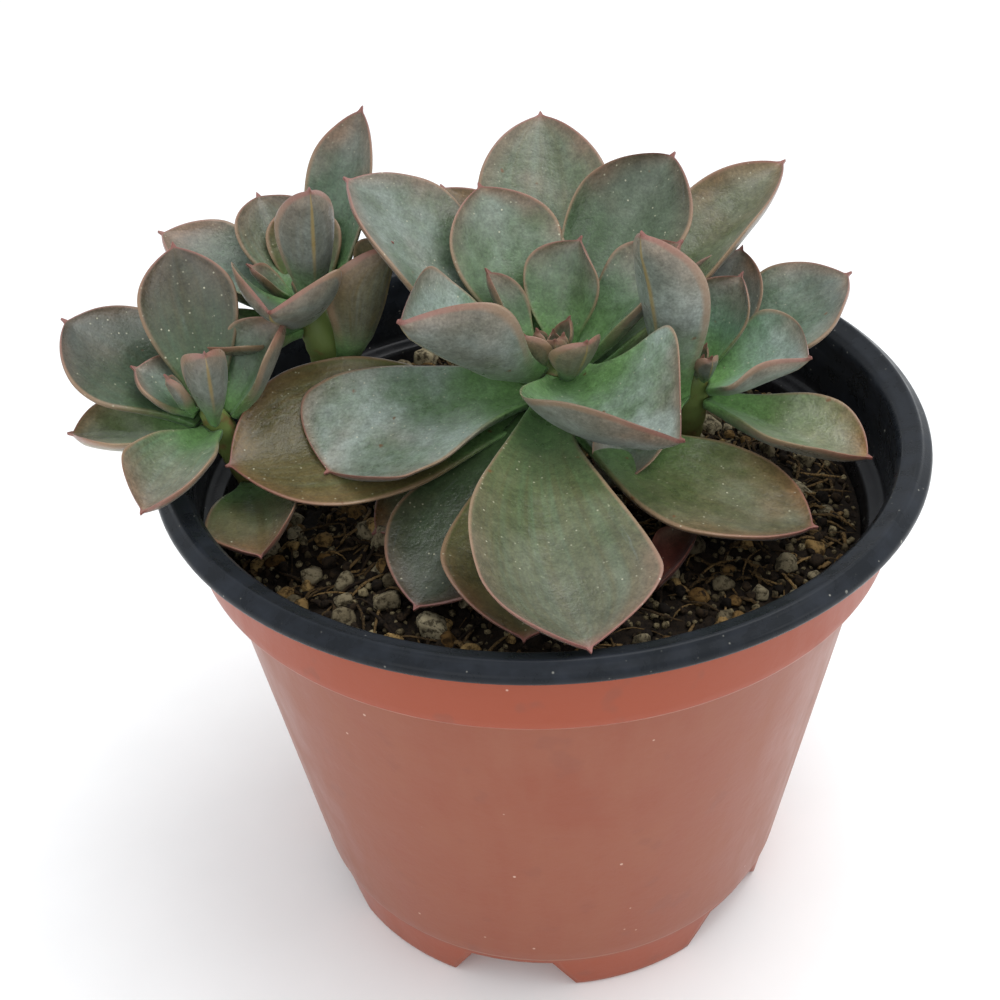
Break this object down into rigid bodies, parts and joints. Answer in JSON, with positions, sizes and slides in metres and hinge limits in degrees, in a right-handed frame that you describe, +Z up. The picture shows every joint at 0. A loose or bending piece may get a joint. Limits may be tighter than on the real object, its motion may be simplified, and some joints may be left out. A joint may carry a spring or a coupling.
{
  "type": "potted succulent",
  "caption": "Rosette succulent with thick grey-green leaves on short stems, rooted in gritty soil in a round two-colour plastic nursery pot.",
  "frame": {"origin": "middle of the pot's flat underside, on the pot's axis", "axes": "+Z up along the pot's axis, -Y towards the side with the big draping front leaf, +X to its right"},
  "size_m": [0.1428, 0.13, 0.1387],
  "materials": {
    "terracotta_plastic": "thermoformed two-colour sheet, terracotta outside with a low gloss, blue-black inside and on the rim",
    "gritty_peat": "dark peat with pale buff pumice grit and bark fibres, matt",
    "green_stem": "fleshy yellow-green stem with scars, satin",
    "leaf_green": "thick waxy leaf, grey-green with a powdery bloom and thin pink-brown margins, satin",
    "leaf_olive": "old waxy leaf, olive brown with a dusty skin, satin",
    "leaf_mauve": "waxy leaf with mauve-brown back and grey-green face, satin",
    "dry_leaf": "dried leaf, red brown and crinkled, matt"
  },
  "bodies": {
    "root": {"pot": "terracotta_plastic", "soil": "gritty_peat", "stem_main": "green_stem", "stem_left": "green_stem", "stem_upper": "green_stem", "stem_right": "green_stem", "leaf_main_front": "leaf_green", "leaf_main_left_big": "leaf_green", "leaf_main_left_low": "leaf_olive", "leaf_main_front_left": "leaf_green", "leaf_main_left_under": "leaf_olive", "leaf_main_front_low": "leaf_olive", "leaf_main_right_low": "leaf_olive", "leaf_main_front_right": "leaf_green", "leaf_main_inner_left": "leaf_green", "leaf_main_back_left": "leaf_green", "leaf_main_back_left_low": "leaf_olive", "leaf_main_back": "leaf_green", "leaf_main_middle": "leaf_green", "leaf_main_back_right": "leaf_green", "leaf_main_back_right_low": "leaf_olive", "leaf_main_back_right_in": "leaf_green", "leaf_main_heart_left": "leaf_green", "leaf_main_heart_right": "leaf_green", "leaf_main_heart_front": "leaf_green", "leaf_main_heart_tip": "leaf_green", "leaf_left_back": "leaf_mauve", "leaf_left_up": "leaf_mauve", "leaf_left_low": "leaf_olive", "leaf_left_small": "leaf_mauve", "leaf_left_inner": "leaf_mauve", "leaf_left_right": "leaf_mauve", "leaf_left_front": "leaf_mauve", "leaf_left_front_low": "leaf_olive", "leaf_left_heart": "leaf_mauve", "leaf_upper_back": "leaf_mauve", "leaf_upper_up": "leaf_mauve", "leaf_upper_up_low": "leaf_olive", "leaf_upper_inner": "leaf_mauve", "leaf_upper_tall": "leaf_mauve", "leaf_upper_front": "leaf_mauve", "leaf_upper_front_right": "leaf_mauve", "leaf_upper_low": "leaf_olive", "leaf_upper_heart": "leaf_mauve", "leaf_right_left": "leaf_mauve", "leaf_right_back": "leaf_mauve", "leaf_right_back_right": "leaf_mauve", "leaf_right_inner": "leaf_mauve", "leaf_right_front": "leaf_mauve", "leaf_right_front_low": "leaf_olive", "leaf_right_hanging": "leaf_mauve", "leaf_right_heart": "leaf_mauve", "leaf_fallen": "dry_leaf"}
  },
  "joints": []
}
